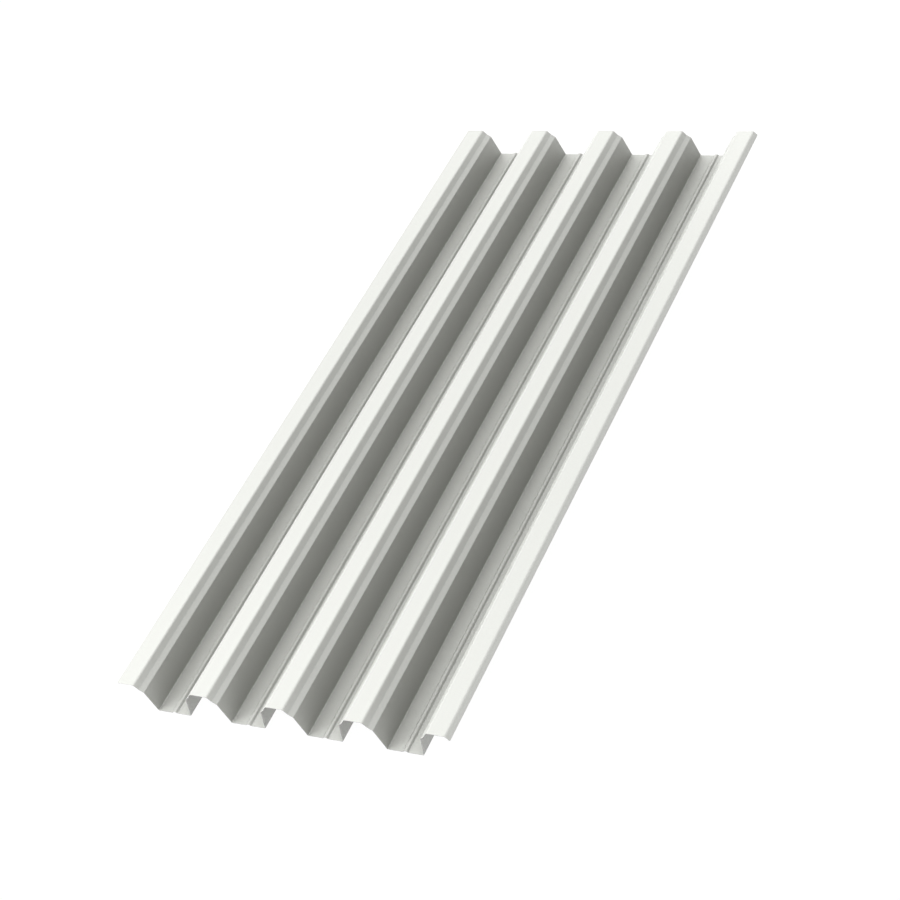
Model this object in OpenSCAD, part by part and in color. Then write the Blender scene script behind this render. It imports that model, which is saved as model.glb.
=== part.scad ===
// Trapezoidal profiled steel sheet: one rolled strip with raised ribs, wide valleys,
// stepped rib sides, a stiffening ridge along each valley and a turned-down lip at one edge.
// The ribs run along Y. The sheet lies on its valleys, with Z = 0 at their undersides.

/* [Sheet] */
// Length of the sheet along its ribs
sheet_length = 1865; // [400:5:6000]
// Number of full waves across the sheet
wave_count = 4; // [1:1:8]
// Thickness of the painted steel
sheet_t = 0.8; // [0.5:0.05:1.5]

/* [Wave] */
// Distance from the middle of one rib to the middle of the next
pitch = 187.5; // [165:0.5:260]
// Height of a rib, from the valley's upper face to the rib's upper face
rib_h = 75; // [50:0.5:110]
// Width of the flat top of a rib, between its bend lines
crest_w = 42; // [30:0.5:60]

/* [Rib side] */
// Sideways reach of the shoulder that slopes down from the rib's top
shoulder_w = 8.6; // [5:0.1:12]
// Drop of the shoulder
shoulder_h = 12; // [8:0.1:16]
// Sideways reach of the flatter ledge below the shoulder
ledge_w = 9.7; // [5:0.1:12]
// Drop of the ledge
ledge_h = 7.7; // [5:0.1:12]
// Sideways reach of the steep web between the ledge and the valley
web_w = 12.7; // [8:0.1:20]

/* [Valley ridge] */
// Height of the stiffening ridge along the middle of a valley
ridge_h = 3.5; // [2:0.1:8]
// Width of the ridge at its foot, between bend lines
ridge_foot_w = 13; // [11:0.5:24]
// Width of the ridge's flat top, between bend lines
ridge_top_w = 5.5; // [3:0.5:9]

/* [Lap edge] */
// Sideways reach of the turned-down lip that laps over the next sheet
lip_w = 7.9; // [4:0.1:12]
// Drop of the lip
lip_h = 11.3; // [4:0.1:20]

/* [Bends] */
// Radius of the soft bends at a rib's top, at the middle of the steel
crest_bend_r = 6; // [3:0.1:9]
// Radius of the bends on a rib's side and at its foot
side_bend_r = 3; // [1.5:0.1:5]
// Radius of the ridge's bends
ridge_bend_r = 1.7; // [1:0.1:3]

/* [Hidden] */
paint_colour = [0.93, 0.94, 0.91];
// Largest angle that one flat of a rounded bend turns through
bend_step = 12;

// Bends of a rib's side, going down: distance from the rib's middle, height, radius
ledge_x = crest_w / 2 + shoulder_w;
web_x = ledge_x + ledge_w;
foot_x = web_x + web_w;
rib_side = [
    [crest_w / 2, rib_h, crest_bend_r],
    [ledge_x, rib_h - shoulder_h, side_bend_r],
    [web_x, rib_h - shoulder_h - ledge_h, side_bend_r],
    [foot_x, 0, side_bend_r]
];

// Bends of a ridge's side, going down in the same way
ridge_side = [
    [ridge_top_w / 2, ridge_h, ridge_bend_r],
    [ridge_foot_w / 2, 0, ridge_bend_r]
];

function backwards(list) = [for (i = [len(list) - 1 : -1 : 0]) list[i]];

// A side placed to the right of x, going down, or mirrored to its left, going up
function down_from(x, side) = [for (bend = side) [x + bend[0], bend[1], bend[2]]];
function up_to(x, side) = [for (bend = backwards(side)) [x - bend[0], bend[1], bend[2]]];

// One wave: down from a rib at x, over the ridge in its valley, and up to the next rib
function wave(x) = concat(
    down_from(x, rib_side),
    up_to(x + pitch / 2, ridge_side),
    down_from(x + pitch / 2, ridge_side),
    up_to(x + pitch, rib_side)
);

// Bend points of the steel's middle line, from the plain edge to the lip's tip
last_edge_x = wave_count * pitch + crest_w / 2;
bend_points = concat(
    [[-crest_w / 2, rib_h, 0]],
    [for (i = [0 : wave_count - 1]) each wave(i * pitch)],
    [[last_edge_x, rib_h, crest_bend_r], [last_edge_x + lip_w, rib_h - lip_h, 0]]
);
last = len(bend_points) - 1;

function spot(i) = [bend_points[i][0], bend_points[i][1]];
function heading(i) = (spot(i + 1) - spot(i)) / norm(spot(i + 1) - spot(i));
function leftward(v) = [-v[1], v[0]];
function turned(v, a) = [v[0] * cos(a) - v[1] * sin(a), v[0] * sin(a) + v[1] * cos(a)];

// Points of bend i on a line that runs at a distance to the left of the middle line.
// The arc keeps the bend's centre, so the steel has one thickness all the way round.
function bend_arc(i, distance) =
    let (
        from = heading(i - 1),
        to = heading(i),
        turn = atan2(cross(from, to), from * to),
        way = turn < 0 ? -1 : 1,
        radius = bend_points[i][2],
        start = spot(i) - from * radius * tan(abs(turn) / 2),
        centre = start + leftward(from) * way * radius,
        steps = ceil(abs(turn) / bend_step)
    )
    [for (k = [0 : steps])
        centre - turned(leftward(from), turn * k / steps) * (way * radius - distance)];

// One face of the sheet: the middle line moved to the left, with square-cut ends
function face_line(distance) = concat(
    [spot(0) + leftward(heading(0)) * distance],
    [for (i = [1 : last - 1]) each bend_arc(i, distance)],
    [spot(last) + leftward(heading(last - 1)) * distance]
);

upper_face = face_line(sheet_t / 2);
lower_face = face_line(-sheet_t / 2);
overall_w = upper_face[len(upper_face) - 1][0] - upper_face[0][0];

module profiled_sheet() {
    color(paint_colour)
        translate([-overall_w / 2 - upper_face[0][0], sheet_length / 2, sheet_t / 2])
            rotate([90, 0, 0])
                linear_extrude(height = sheet_length)
                    polygon(concat(upper_face, backwards(lower_face)));
}

profiled_sheet();
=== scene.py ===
"""The looks of a roll-formed, painted steel deck sheet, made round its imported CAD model.

Everything is in metres in the CAD model's frame: the ribs run along Y, and Z is up from the floor.
"""

import math

import bpy
import numpy as np
from mathutils import Matrix, Vector


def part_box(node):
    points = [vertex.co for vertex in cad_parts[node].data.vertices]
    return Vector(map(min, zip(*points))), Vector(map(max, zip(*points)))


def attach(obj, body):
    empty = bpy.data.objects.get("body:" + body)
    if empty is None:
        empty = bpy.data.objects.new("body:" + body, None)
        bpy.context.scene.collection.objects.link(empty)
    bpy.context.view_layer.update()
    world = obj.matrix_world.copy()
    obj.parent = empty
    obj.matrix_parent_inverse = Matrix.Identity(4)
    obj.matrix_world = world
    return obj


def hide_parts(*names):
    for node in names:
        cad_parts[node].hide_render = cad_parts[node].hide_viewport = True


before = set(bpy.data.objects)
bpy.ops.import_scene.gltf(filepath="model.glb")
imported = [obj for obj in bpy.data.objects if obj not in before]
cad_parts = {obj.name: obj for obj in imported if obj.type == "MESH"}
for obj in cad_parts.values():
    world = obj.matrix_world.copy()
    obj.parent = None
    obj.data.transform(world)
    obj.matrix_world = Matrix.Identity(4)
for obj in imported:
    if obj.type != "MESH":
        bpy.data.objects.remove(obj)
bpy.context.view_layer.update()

MM = 0.001
CAD_NODE = "profiled_sheet"

# The rolled section, as the CAD model has it
WAVES = 4
PITCH = 187.5 * MM
CREST_W = 42 * MM
SHOULDER_W, SHOULDER_H = 8.6 * MM, 12 * MM
LEDGE_W, LEDGE_H = 9.7 * MM, 7.7 * MM
WEB_W = 12.7 * MM
RIDGE_FOOT_W, RIDGE_TOP_W, RIDGE_H = 13 * MM, 5.5 * MM, 3.5 * MM
LIP_W, LIP_H = 7.9 * MM, 11.3 * MM
CREST_BEND_R, SIDE_BEND_R, RIDGE_BEND_R = 6 * MM, 3 * MM, 1.7 * MM
THICKNESS = 0.8 * MM

# The coats' numbers on the mesh: the upper face, the lower face and the cuts
FACE, BACK, CUT = 0, 1, 2

# What the frame gives: the length, the ribs' height and where the first rib is
sheet_low, sheet_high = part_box(CAD_NODE)
LENGTH = sheet_high.y - sheet_low.y
RIB_H = sheet_high.z - sheet_low.z - THICKNESS
FIRST_RIB_X = sheet_low.x + CREST_W / 2
VALLEY_Z = sheet_low.z + THICKNESS / 2

# How finely the surface is worked out
BEND_STEPS = 6
FLAT_STEPS = 3
LENGTH_STEPS = 72
EDGE_STEPS = 2

# Fine relief: the coat drawn over a sheared edge, and the slack that rolling leaves in the flats,
# as a share of a flat's width. Each slack wave has a length along the sheet, a share of the whole,
# and a shift for each metre across
EDGE_ROUND = 0.12 * MM
SLACK = 0.004
SLACK_LEVEL = 0.5
SLACK_WAVES = ((0.310, 0.3, 41.0), (0.127, 0.2, -23.0))

# The coat that shows, the coat on the back, and the bare metal of a cut. The colour for bounced light
# is painted
# shade: the face gives the rest of the steel a much darker colour, held down so the troughs come out as
# dark as the photograph's
FACE_PAINT = (0.858, 0.862, 0.843)
FACE_PAINT_DULL = (0.849, 0.853, 0.835)
PAINTED_BOUNCE_SHADE = (0.344, 0.346, 0.322)
BACK_PAINT = (0.800, 0.802, 0.788)
BACK_PAINT_DULL = (0.752, 0.754, 0.741)
BARE_STEEL = (0.560, 0.565, 0.570)
ZINC_SMEAR = (0.740, 0.745, 0.750)

# The finishes. Lumps of noise are counted to a metre, and those of the streaks across and along
# the strip. A roughness is the least that a finish has, to which its streaks, clouds, bends or
# tears add a little
FACE_STREAKS, FACE_CLOUDS, FACE_PEEL = (160, 1.2, 0), 5, 620
FACE_PEEL_DEPTH = 0.008 * MM
FACE_ROUGHNESS, FACE_SHEEN = 0.37, 0.36
BACK_STREAKS, BACK_CLOUDS, BACK_GRAIN = (90, 1.5, 0), 9, 900
BACK_GRAIN_DEPTH = 0.01 * MM
BACK_ROUGHNESS = 0.52
CUT_SMEARS, CUT_TEARS = 120, 2600
CUT_TEAR_DEPTH = 0.03 * MM
CUT_ROUGHNESS, CUT_METALLIC = 0.34, 0.9

# The photograph's camera: a long lens that looks down across the near right corner
CAMERA_AZIMUTH, CAMERA_ELEVATION, CAMERA_ROLL = 40.272, 39.821, -23.464
CAMERA_DISTANCE = 4.7576
CAMERA_AIM = (0.0341, -0.1586, 0.0379)
CAMERA_LENS, CAMERA_SENSOR = 86.104, 36
CAMERA_CLIP = (0.1, 100)

# The studio: a dome whose light grows evenly along a slope and has soft glows in it, a lit floor,
# and three soft boxes. A glow's bearing goes from X towards Y. The floor gives the steel less light
# than it shows
DOME_LEVEL = 0.588
DOME_SLOPE = (-0.078, 0.102, 0.274)
DOME_GLOWS = {
    "top": {"bearing": 0, "height": 90, "tightness": 4, "strength": 0.374},
    "right": {"bearing": 0, "height": 15, "tightness": 8, "strength": 0.320},
    "far_left": {"bearing": 135, "height": 15, "tightness": 8, "strength": 0.886},
    "left": {"bearing": 180, "height": 15, "tightness": 8, "strength": 0.406},
}
FLOOR_REACH = 20
FLOOR_DROP = 0.2 * MM
FLOOR_PALE = (0.05, 0.05, 0.05)
FLOOR_ROUGHNESS, FLOOR_SHEEN = 0.7, 0.2
FLOOR_GLOW = (0.96, 0.96, 0.96)
FLOOR_GLOW_GIVEN = (0.80, 0.80, 0.80)
SOFT_BOXES = {
    "near_left": {"at": (-2.0, -2.4, 1.6), "aim": (-0.3, -0.8, 0), "power": 10.8},
    "near_end": {"at": (0.3, -3.4, 1.2), "aim": (0, -0.8, 0), "power": 9.0},
    "far_end": {"at": (-0.3, 3.4, 1.2), "aim": (0, 0.8, 0), "power": 12.3},
}
SOFT_BOX_SIZE = 1.2


def leftward(vectors):
    """Each vector of the section's plane, turned a quarter turn to its left."""
    return np.stack([-vectors[..., 1], vectors[..., 0]], axis=-1)


def down_from(x, side):
    """The bends of a side to the right of x, going down."""
    return side + [x, 0, 0]


def up_to(x, side):
    """The bends of a side mirrored to the left of x, going up."""
    return side[::-1] * [-1, 1, 1] + [x, 0, 0]


def section_bends():
    """The strip's bend points as rows of x, z and radius, from the plain edge to the lip's tip.

    A rib's side has four bends below its top, and a ridge's side has two. One wave is a rib's side
    going down, a ridge's side up and down, and a rib's side going up. The edges have no radius.
    """
    ledge_x = CREST_W / 2 + SHOULDER_W
    web_x = ledge_x + LEDGE_W
    rib_side = np.array([
        [CREST_W / 2, RIB_H, CREST_BEND_R],
        [ledge_x, RIB_H - SHOULDER_H, SIDE_BEND_R],
        [web_x, RIB_H - SHOULDER_H - LEDGE_H, SIDE_BEND_R],
        [web_x + WEB_W, 0, SIDE_BEND_R],
    ])
    ridge_side = np.array([
        [RIDGE_TOP_W / 2, RIDGE_H, RIDGE_BEND_R],
        [RIDGE_FOOT_W / 2, 0, RIDGE_BEND_R],
    ])
    wave = np.concatenate([
        down_from(0, rib_side),
        up_to(PITCH / 2, ridge_side),
        down_from(PITCH / 2, ridge_side),
        up_to(PITCH, rib_side),
    ])
    waves = np.concatenate([down_from(i * PITCH, wave) for i in range(WAVES)])
    last_edge_x = WAVES * PITCH + CREST_W / 2
    plain_edge = [[-CREST_W / 2, RIB_H, 0]]
    lip = [[last_edge_x, RIB_H, CREST_BEND_R], [last_edge_x + LIP_W, RIB_H - LIP_H, 0]]
    return np.concatenate([plain_edge, waves, lip]) + [FIRST_RIB_X, VALLEY_Z, 0]


def bend_arcs(corners, headings, radius):
    """The arcs that round the corners, as points and as normals to the line's left.

    At a bend the heading turns about a centre one radius to the inner side, so the arc is the
    centre less the radius times the normal, while the normal swings through the bend's angle.
    """
    before, after = headings[:-1], headings[1:]
    cross = before[:, 0] * after[:, 1] - before[:, 1] * after[:, 0]
    turn = np.arctan2(cross, (before * after).sum(axis=1))
    inner = np.sign(turn) * radius
    reach = radius * np.tan(np.abs(turn) / 2)
    centres = corners - before * reach[:, None] + leftward(before) * inner[:, None]
    first_angle = np.arctan2(before[:, 1], before[:, 0])
    swing = first_angle[:, None] + turn[:, None] * np.linspace(0, 1, BEND_STEPS + 1)
    normals = np.stack([-np.sin(swing), np.cos(swing)], axis=-1)
    return centres[:, None] - inner[:, None, None] * normals, normals


def flats_between(starts, ends):
    """The flats that run straight from each start to its end, as points and as places.

    A place on a flat is a share of its width, from 0 to 1, and the width.
    """
    share = np.arange(1, FLAT_STEPS + 1) / (FLAT_STEPS + 1)
    points = starts[:, None] + (ends - starts)[:, None] * share[:, None]
    widths = np.linalg.norm(ends - starts, axis=1)[:, None]
    return points, np.stack(np.broadcast_arrays(share, widths), axis=-1)


def middle_line(bends):
    """The middle of the steel as points, normals to its left, and the place of each on its flat.

    The line goes from edge to edge along a flat, round an arc, along the next flat, and so on.
    Each flat runs from the end of one arc to the start of the next. Places are 0 on the bends.
    """
    spots = bends[:, :2]
    headings = np.diff(spots, axis=0)
    headings /= np.linalg.norm(headings, axis=1, keepdims=True)
    arcs, arc_normals = bend_arcs(spots[1:-1], headings, bends[1:-1, 2])
    starts = np.concatenate([spots[:1], arcs[:, -1]])
    ends = np.concatenate([arcs[:, 0], spots[-1:]])
    flats, flat_places = flats_between(starts, ends)
    flat_normals = np.broadcast_to(leftward(headings)[:, None], flats.shape)

    def in_order(edges, of_flats, of_arcs):
        """One list of rows: an edge, a flat, an arc, a flat and so on, to the other edge."""
        pairs = np.concatenate([of_flats[:-1], of_arcs], axis=1).reshape(-1, 2)
        return np.concatenate([edges[:1], pairs, of_flats[-1], edges[1:]])

    points = in_order(spots[[0, -1]], flats, arcs)
    normals = in_order(leftward(headings[[0, -1]]), flat_normals, arc_normals)
    places = in_order(np.zeros((2, 2)), flat_places, np.zeros_like(arcs))
    return points, normals, places


def side_ring():
    """A closed line round the strip, seen from its side: rows of place and height, and normals.

    It is a rectangle of the sheet's length and thickness with quarter circles for corners. The
    first half runs along the upper face and round the far cut. The second half is the first one
    turned half a turn about the middle, so it runs back along the lower face to the near cut.
    """
    reach, rise = LENGTH / 2 - EDGE_ROUND, THICKNESS / 2 - EDGE_ROUND
    quarter = np.linspace(0, math.pi / 2, EDGE_STEPS + 1)
    swing = np.stack([math.pi / 2 - quarter, -quarter])
    corner_normals = np.stack([np.cos(swing), np.sin(swing)], axis=-1)
    corners = np.array([[[reach, rise]], [[reach, -rise]]]) + EDGE_ROUND * corner_normals
    along = np.linspace(-reach, reach, LENGTH_STEPS)[1:-1]
    face = np.stack(np.broadcast_arrays(along, THICKNESS / 2), axis=-1)
    face_normals = np.broadcast_to([0.0, 1.0], face.shape)
    half = np.concatenate([face, corners.reshape(-1, 2)])
    half_normals = np.concatenate([face_normals, corner_normals.reshape(-1, 2)])
    return np.concatenate([half, -half]), np.concatenate([half_normals, -half_normals])


def slack(points, places, along):
    """How far the flats stand off their plane, and how steeply that changes along the sheet.

    Over a flat it is a hump, the square of a parabola that is 0 at both bends. Its height is a
    small share of the flat's width, times a slow wave along the sheet that stays above 0. It
    lifts the low flats and sinks the high ones, so the sheet never leaves its own height.
    """
    share, width = places[:, 0], places[:, 1]
    hump = (4 * share * (1 - share)) ** 2
    inward = 1 - 2 * (points[:, 1] - VALLEY_Z) / RIB_H
    height = (SLACK * width * hump * inward)[:, None]
    level = np.full((len(points), len(along)), SLACK_LEVEL)
    steepness = np.zeros_like(level)
    for wavelength, part, shift in SLACK_WAVES:
        pace = 2 * math.pi / wavelength
        phase = pace * along + shift * points[:, :1]
        level += part * np.sin(phase)
        steepness += part * pace * np.cos(phase)
    return height * level, height * steepness


def grid_faces(rows, columns):
    """Quads of a grid whose columns close into a ring, each row's ring joined to the next one's."""
    row, column = np.meshgrid(np.arange(rows - 1), np.arange(columns), indexing="ij")
    here, beside = row * columns + column, row * columns + (column + 1) % columns
    return np.stack([here, here + columns, beside + columns, beside], axis=-1).reshape(-1, 4)


def cap_faces(ring_size):
    """Quads that close one ring, each between two points of its upper side and the two below.

    The upper side starts with the near cut's upper corner, which ends the ring, so its places
    there are counted backwards from the ring's start.
    """
    corner = EDGE_STEPS + 1
    face = ring_size // 2 - 2 * corner
    upper = np.arange(-corner, face + corner)
    lower = face + ring_size // 2 - 1 - upper
    quads = np.stack([upper[:-1], upper[1:], lower[1:], lower[:-1]], axis=1)
    return quads % ring_size


def in_space(section_vectors):
    """Vectors of the section's plane, as vectors in space."""
    return np.insert(section_vectors, 1, 0, axis=-1)


def sheet_surface(line, ring, across):
    """The sheet's points and normals, on a grid of the flat strip's width and the ring round it.

    A point is the middle line's point, plus the ring's height and the slack along the middle
    line's normal, at the ring's place along Y. Its normal is the ring's, leaned against the
    slack's slope across and along the sheet.
    """
    points, normals, places = line
    along, height = ring[0].T
    lengthwise, upward = ring[1].T[..., None]
    lift, steepness = slack(points, places, along)
    length_axis = np.array([0.0, 1.0, 0.0])
    out = in_space(normals)[:, None]
    tangent = in_space(-leftward(normals))[:, None]
    surface = in_space(points)[:, None] + out * (height + lift)[..., None]
    surface = surface + length_axis * along[:, None]
    slope_across = np.gradient(lift, across, axis=0)[..., None]
    tilt = tangent * slope_across + length_axis * steepness[..., None]
    facing = (out - tilt) * upward + length_axis * lengthwise
    return surface, facing / np.linalg.norm(facing, axis=-1, keepdims=True)


def coats_round(height):
    """Which coat each side of the ring has: 0 on the upper face, 1 on the lower, 2 on a cut."""
    level = (height + np.roll(height, -1)) / 2
    rise = THICKNESS / 2 - EDGE_ROUND
    return np.select([level > rise, level < -rise], [FACE, BACK], default=CUT)


def rolled_sheet(coats):
    """The sheet as one closed surface of two parameters: across the flat strip, and round its side.

    The plain edge and the lip's tip are closed by a cap each. The coats are the materials of the
    upper face, the lower face and the cuts. The attribute "strip" holds each point's metres
    across and along the flat strip, and 1 where the steel is bent.
    """
    line, ring = middle_line(section_bends()), side_ring()
    points, normals, places = line
    along, height = ring[0].T
    spacing = np.linalg.norm(np.diff(points, axis=0), axis=1)
    across = np.concatenate([[0], np.cumsum(spacing)])
    surface, facing = sheet_surface(line, ring, across)

    rows, columns = surface.shape[:2]
    body, cap = grid_faces(rows, columns), cap_faces(columns)
    far_cap = cap[:, ::-1] + (rows - 1) * columns
    first_out, last_out = in_space(leftward(normals[0])), in_space(-leftward(normals[-1]))
    corner_normals = np.concatenate([
        facing.reshape(-1, 3)[body.ravel()],
        np.broadcast_to(first_out, (cap.size, 3)),
        np.broadcast_to(last_out, (cap.size, 3)),
    ])
    coat_of_face = np.concatenate([
        np.tile(coats_round(height), rows - 1),
        np.full(2 * len(cap), CUT),
    ])
    bent = np.broadcast_to((places[:, 1:] == 0).astype(float), (rows, columns))
    strip = np.stack(np.broadcast_arrays(across[:, None], along, bent), axis=-1)

    mesh = bpy.data.meshes.new("rolled_sheet")
    mesh.from_pydata(surface.reshape(-1, 3), [], np.concatenate([body, cap, far_cap]), shade_flat=False)
    mesh.normals_split_custom_set(corner_normals)
    for coat in coats:
        mesh.materials.append(coat)
    mesh.polygons.foreach_set("material_index", coat_of_face)
    mesh.attributes.new("strip", "FLOAT_VECTOR", "POINT").data.foreach_set("vector", strip.ravel())
    sheet = bpy.data.objects.new("rolled_sheet", mesh)
    bpy.context.scene.collection.objects.link(sheet)
    return sheet


class Value:
    """A socket that a node gives out. Python's operators on it add Math nodes to its recipe."""

    def __init__(self, recipe, socket):
        self.recipe, self.socket = recipe, socket

    def math(self, operation, *terms):
        """What one of the Math node's operations makes of values or plain numbers."""
        return self.recipe.node("ShaderNodeMath", {"operation": operation}, dict(enumerate(terms)))

    def __add__(self, other):
        return self.math("ADD", self, other)

    __radd__ = __add__

    def __sub__(self, other):
        return self.math("SUBTRACT", self, other)

    def __rsub__(self, other):
        return self.math("SUBTRACT", other, self)

    def __mul__(self, other):
        return self.math("MULTIPLY", self, other)

    __rmul__ = __mul__

    def __pow__(self, other):
        return self.math("POWER", self, other)

    def at_least(self, lowest):
        """The value, or the lowest one where it is below that."""
        return self.math("MAXIMUM", self, lowest)


class Recipe:
    """The nodes of a material or a world, with one method that adds any node to them."""

    def __init__(self, owner):
        self.owner = owner
        owner.use_nodes = True
        self.tree = owner.node_tree
        self.tree.nodes.clear()

    def node(self, kind, settings=None, sockets=None, out=0):
        """Adds a node, sets it up, fills its sockets with values or links, and gives one output."""
        made = self.tree.nodes.new(kind)
        for name, setting in (settings or {}).items():
            setattr(made, name, setting)
        for name, value in (sockets or {}).items():
            if isinstance(value, Value):
                self.tree.links.new(value.socket, made.inputs[name])
            else:
                made.inputs[name].default_value = value
        return Value(self, made.outputs[out])

    def mix(self, share, one, other):
        """A colour between two, by a share from 0 to 1.

        The node's colour sockets have the names of its number sockets, so they go by their places.
        """
        first_colour, second_colour, mixed_colour = 6, 7, 2
        colours = {first_colour: one, second_colour: other}
        ready = {key: c if isinstance(c, Value) else (*c, 1) for key, c in colours.items()}
        settings = {"data_type": "RGBA", "clamp_factor": True}
        return self.node("ShaderNodeMix", settings, {0: share, **ready}, out=mixed_colour)

    def noise(self, place, lumps, detail):
        """Smooth noise from 0 to 1 over a place, with so many lumps to a metre."""
        sockets = {"Vector": place, "Scale": lumps, "Detail": detail, "Roughness": 0.5}
        return self.node("ShaderNodeTexNoise", None, sockets, out="Fac")

    def streaks(self, place, lumps, detail):
        """Noise that is drawn out, with its own number of lumps to a metre on each axis."""
        stretched = self.node("ShaderNodeVectorMath", {"operation": "MULTIPLY"}, {0: place, 1: lumps})
        return self.noise(stretched, 1, detail)

    def strip_place(self):
        """The place on the flat strip: metres across, metres along, and 1 where the steel is bent."""
        return self.node("ShaderNodeAttribute", {"attribute_name": "strip"}, out="Vector")

    def bump(self, height, depth):
        """A normal that follows a height from 0 to 1, so many metres deep."""
        return self.node("ShaderNodeBump", None, {"Height": height, "Distance": depth, "Strength": 1})

    def is_ray(self, kind):
        """1 for the kind of ray that meets the surface, such as Diffuse or Camera, and else 0."""
        return self.node("ShaderNodeLightPath", out=f"Is {kind} Ray")

    def finished(self, sockets, shader="ShaderNodeBsdfPrincipled", output="ShaderNodeOutputMaterial"):
        """The material or the world, with its shader's sockets filled."""
        surface = self.node(shader, None, sockets)
        end = self.tree.nodes.new(output)
        self.tree.links.new(surface.socket, end.inputs["Surface"])
        return self.owner


def face_coat():
    """Satin coil coating: even off-white, fine orange peel, faint streaks along the rolling, and
    painted shade: bounced light gets a much darker colour, which darkens the troughs.
    """
    paint = Recipe(bpy.data.materials.new("off_white_face_coat"))
    strip = paint.strip_place()
    bent = paint.node("ShaderNodeSeparateXYZ", None, {0: strip}, out="Z")
    streaks = paint.streaks(strip, FACE_STREAKS, detail=3)
    clouds = paint.noise(strip, FACE_CLOUDS, detail=3)
    peel = paint.noise(strip, FACE_PEEL, detail=1)
    seen = paint.mix(clouds * 0.6 + streaks * 0.4, FACE_PAINT_DULL, FACE_PAINT)
    return paint.finished({
        # Painted shade: light that bounces off the face gets a much darker colour, so the troughs and
        # webs come out darker
        "Base Color": paint.mix(paint.is_ray("Diffuse"), seen, PAINTED_BOUNCE_SHADE),
        "Roughness": FACE_ROUGHNESS + streaks * 0.08 + clouds * 0.05 + bent * 0.05,
        "Normal": paint.bump(peel, FACE_PEEL_DEPTH),
        "Specular IOR Level": FACE_SHEEN,
    })


def back_coat():
    """Thin grey back coat: duller, a little uneven, with the steel's grain showing through."""
    paint = Recipe(bpy.data.materials.new("grey_back_coat"))
    strip = paint.strip_place()
    streaks = paint.streaks(strip, BACK_STREAKS, detail=4)
    clouds = paint.noise(strip, BACK_CLOUDS, detail=4)
    grain = paint.noise(strip, BACK_GRAIN, detail=2)
    return paint.finished({
        "Base Color": paint.mix(clouds * 0.5 + streaks * 0.5, BACK_PAINT_DULL, BACK_PAINT),
        "Roughness": BACK_ROUGHNESS + streaks * 0.12,
        "Normal": paint.bump(grain, BACK_GRAIN_DEPTH),
    })


def cut_edge():
    """Sheared steel: fine tears all over, and smears of the zinc that the shear dragged along."""
    metal = Recipe(bpy.data.materials.new("sheared_steel_edge"))
    place = metal.node("ShaderNodeTexCoord", out="Object")
    tears = metal.noise(place, CUT_TEARS, detail=3)
    smears = metal.noise(place, CUT_SMEARS, detail=2)
    return metal.finished({
        "Base Color": metal.mix(smears, BARE_STEEL, ZINC_SMEAR),
        "Metallic": CUT_METALLIC,
        "Roughness": CUT_ROUGHNESS + tears * 0.25,
        "Normal": metal.bump(tears, CUT_TEAR_DEPTH),
    })


def pale_floor():
    """A plain pale sheet of lit acrylic, just below the steel, well past the camera's view.

    It isn't sampled as a lamp, because a lamp gives its light without a kind of ray, and then
    the steel would get the whole glow.
    """
    acrylic = Recipe(bpy.data.materials.new("pale_acrylic"))
    acrylic.owner.cycles.emission_sampling = "NONE"
    material = acrylic.finished({
        "Base Color": (*FLOOR_PALE, 1),
        "Roughness": FLOOR_ROUGHNESS,
        "Specular IOR Level": FLOOR_SHEEN,
        "Emission Color": acrylic.mix(acrylic.is_ray("Diffuse"), FLOOR_GLOW, FLOOR_GLOW_GIVEN),
        "Emission Strength": 1,
    })
    corners = FLOOR_REACH * np.array([[-1, -1, 0], [1, -1, 0], [1, 1, 0], [-1, 1, 0]])
    mesh = bpy.data.meshes.new("pale_floor")
    mesh.from_pydata(corners + [0, 0, sheet_low.z - FLOOR_DROP], [], [(0, 1, 2, 3)])
    mesh.materials.append(material)
    floor = bpy.data.objects.new("pale_floor", mesh)
    bpy.context.scene.collection.objects.link(floor)


def soft_box(name, at, aim, power):
    """A square soft box that faces the point it aims at."""
    light = bpy.data.lights.new(name, "AREA")
    light.shape = "SQUARE"
    light.size = SOFT_BOX_SIZE
    light.energy = power
    box = bpy.data.objects.new(name, light)
    box.location = at
    box.rotation_euler = (Vector(aim) - Vector(at)).to_track_quat("-Z", "Y").to_euler()
    bpy.context.scene.collection.objects.link(box)


def towards(bearing, height):
    """The direction at a bearing from X towards Y, and at a height angle, both in degrees."""
    turn, rise = math.radians(bearing), math.radians(height)
    return math.cos(rise) * math.cos(turn), math.cos(rise) * math.sin(turn), math.sin(rise)


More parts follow.
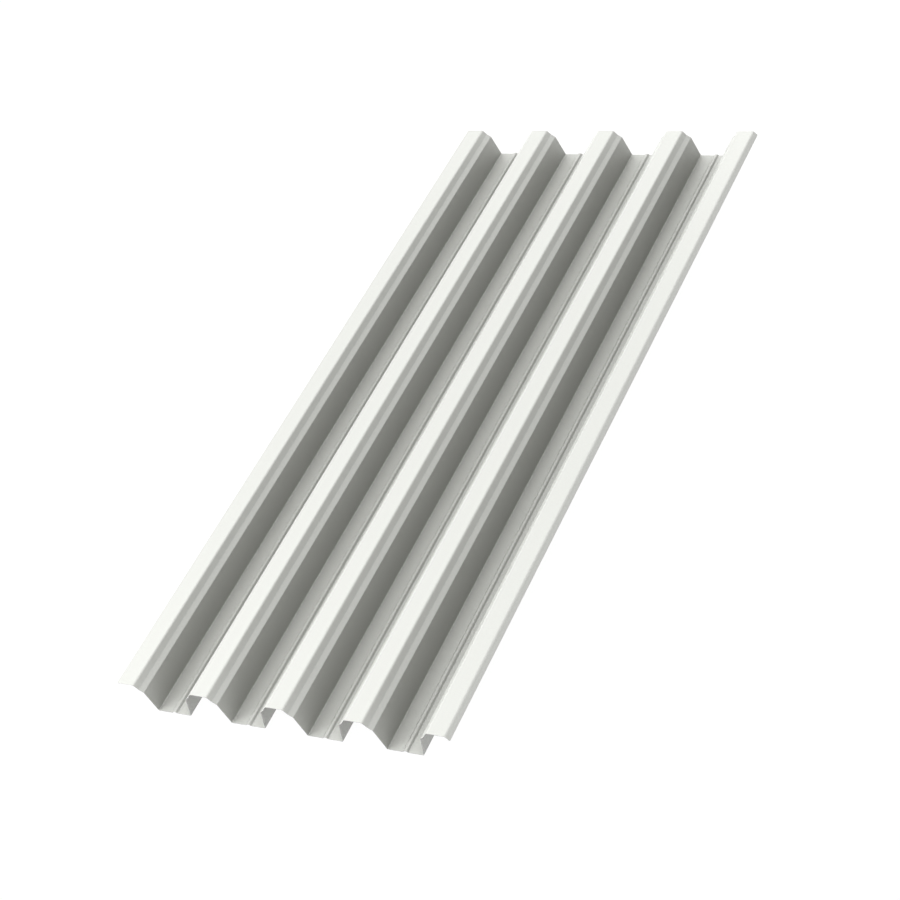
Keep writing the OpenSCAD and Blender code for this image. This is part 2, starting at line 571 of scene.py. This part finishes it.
def white_dome():
    """A world of white light: in each direction a level, its part along the slope, and the glows.

    A glow's light is its strength times the cosine of the angle off its middle, to a power that
    makes it tight. It gives none more than a right angle off. Where the dome itself shows, past
    the floor, it is plain white.
    """
    dome = Recipe(bpy.data.worlds.new("white_dome"))
    direction = dome.node("ShaderNodeTexCoord", out="Generated")

    def along(vector):
        """How much of the direction lies along a vector."""
        terms = {0: direction, 1: vector}
        return dome.node("ShaderNodeVectorMath", {"operation": "DOT_PRODUCT"}, terms, out="Value")

    light = DOME_LEVEL + along(DOME_SLOPE)
    for glow in DOME_GLOWS.values():
        middle = towards(glow["bearing"], glow["height"])
        light = light + along(middle).at_least(0) ** glow["tightness"] * glow["strength"]
    shown = light + dome.is_ray("Camera") * (1 - light)
    sockets = {"Color": (1, 1, 1, 1), "Strength": shown}
    return dome.finished(sockets, "ShaderNodeBackground", "ShaderNodeOutputWorld")


def studio():
    """The dome, the floor and the soft boxes, shown with the photograph's plain linear tones."""
    bpy.context.scene.world = white_dome()
    bpy.context.scene.view_settings.view_transform = "Raw"
    pale_floor()
    for name, values in SOFT_BOXES.items():
        soft_box(name, **values)


def camera():
    """The camera, placed by its bearing, height angle and roll about the point that it aims at."""
    lens = bpy.data.cameras.new("camera")
    lens.lens, lens.sensor_width = CAMERA_LENS, CAMERA_SENSOR
    lens.clip_start, lens.clip_end = CAMERA_CLIP
    turn = (
        Matrix.Rotation(math.radians(CAMERA_AZIMUTH), 4, "Z")
        @ Matrix.Rotation(math.radians(90 - CAMERA_ELEVATION), 4, "X")
        @ Matrix.Rotation(math.radians(CAMERA_ROLL), 4, "Z")
    )
    view = bpy.data.objects.new("camera", lens)
    step_back = Matrix.Translation((0, 0, CAMERA_DISTANCE))
    view.matrix_world = Matrix.Translation(CAMERA_AIM) @ turn @ step_back
    bpy.context.scene.collection.objects.link(view)
    bpy.context.scene.camera = view


camera()
studio()
sheet = rolled_sheet([face_coat(), back_coat(), cut_edge()])
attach(sheet, "root")
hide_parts(CAD_NODE)
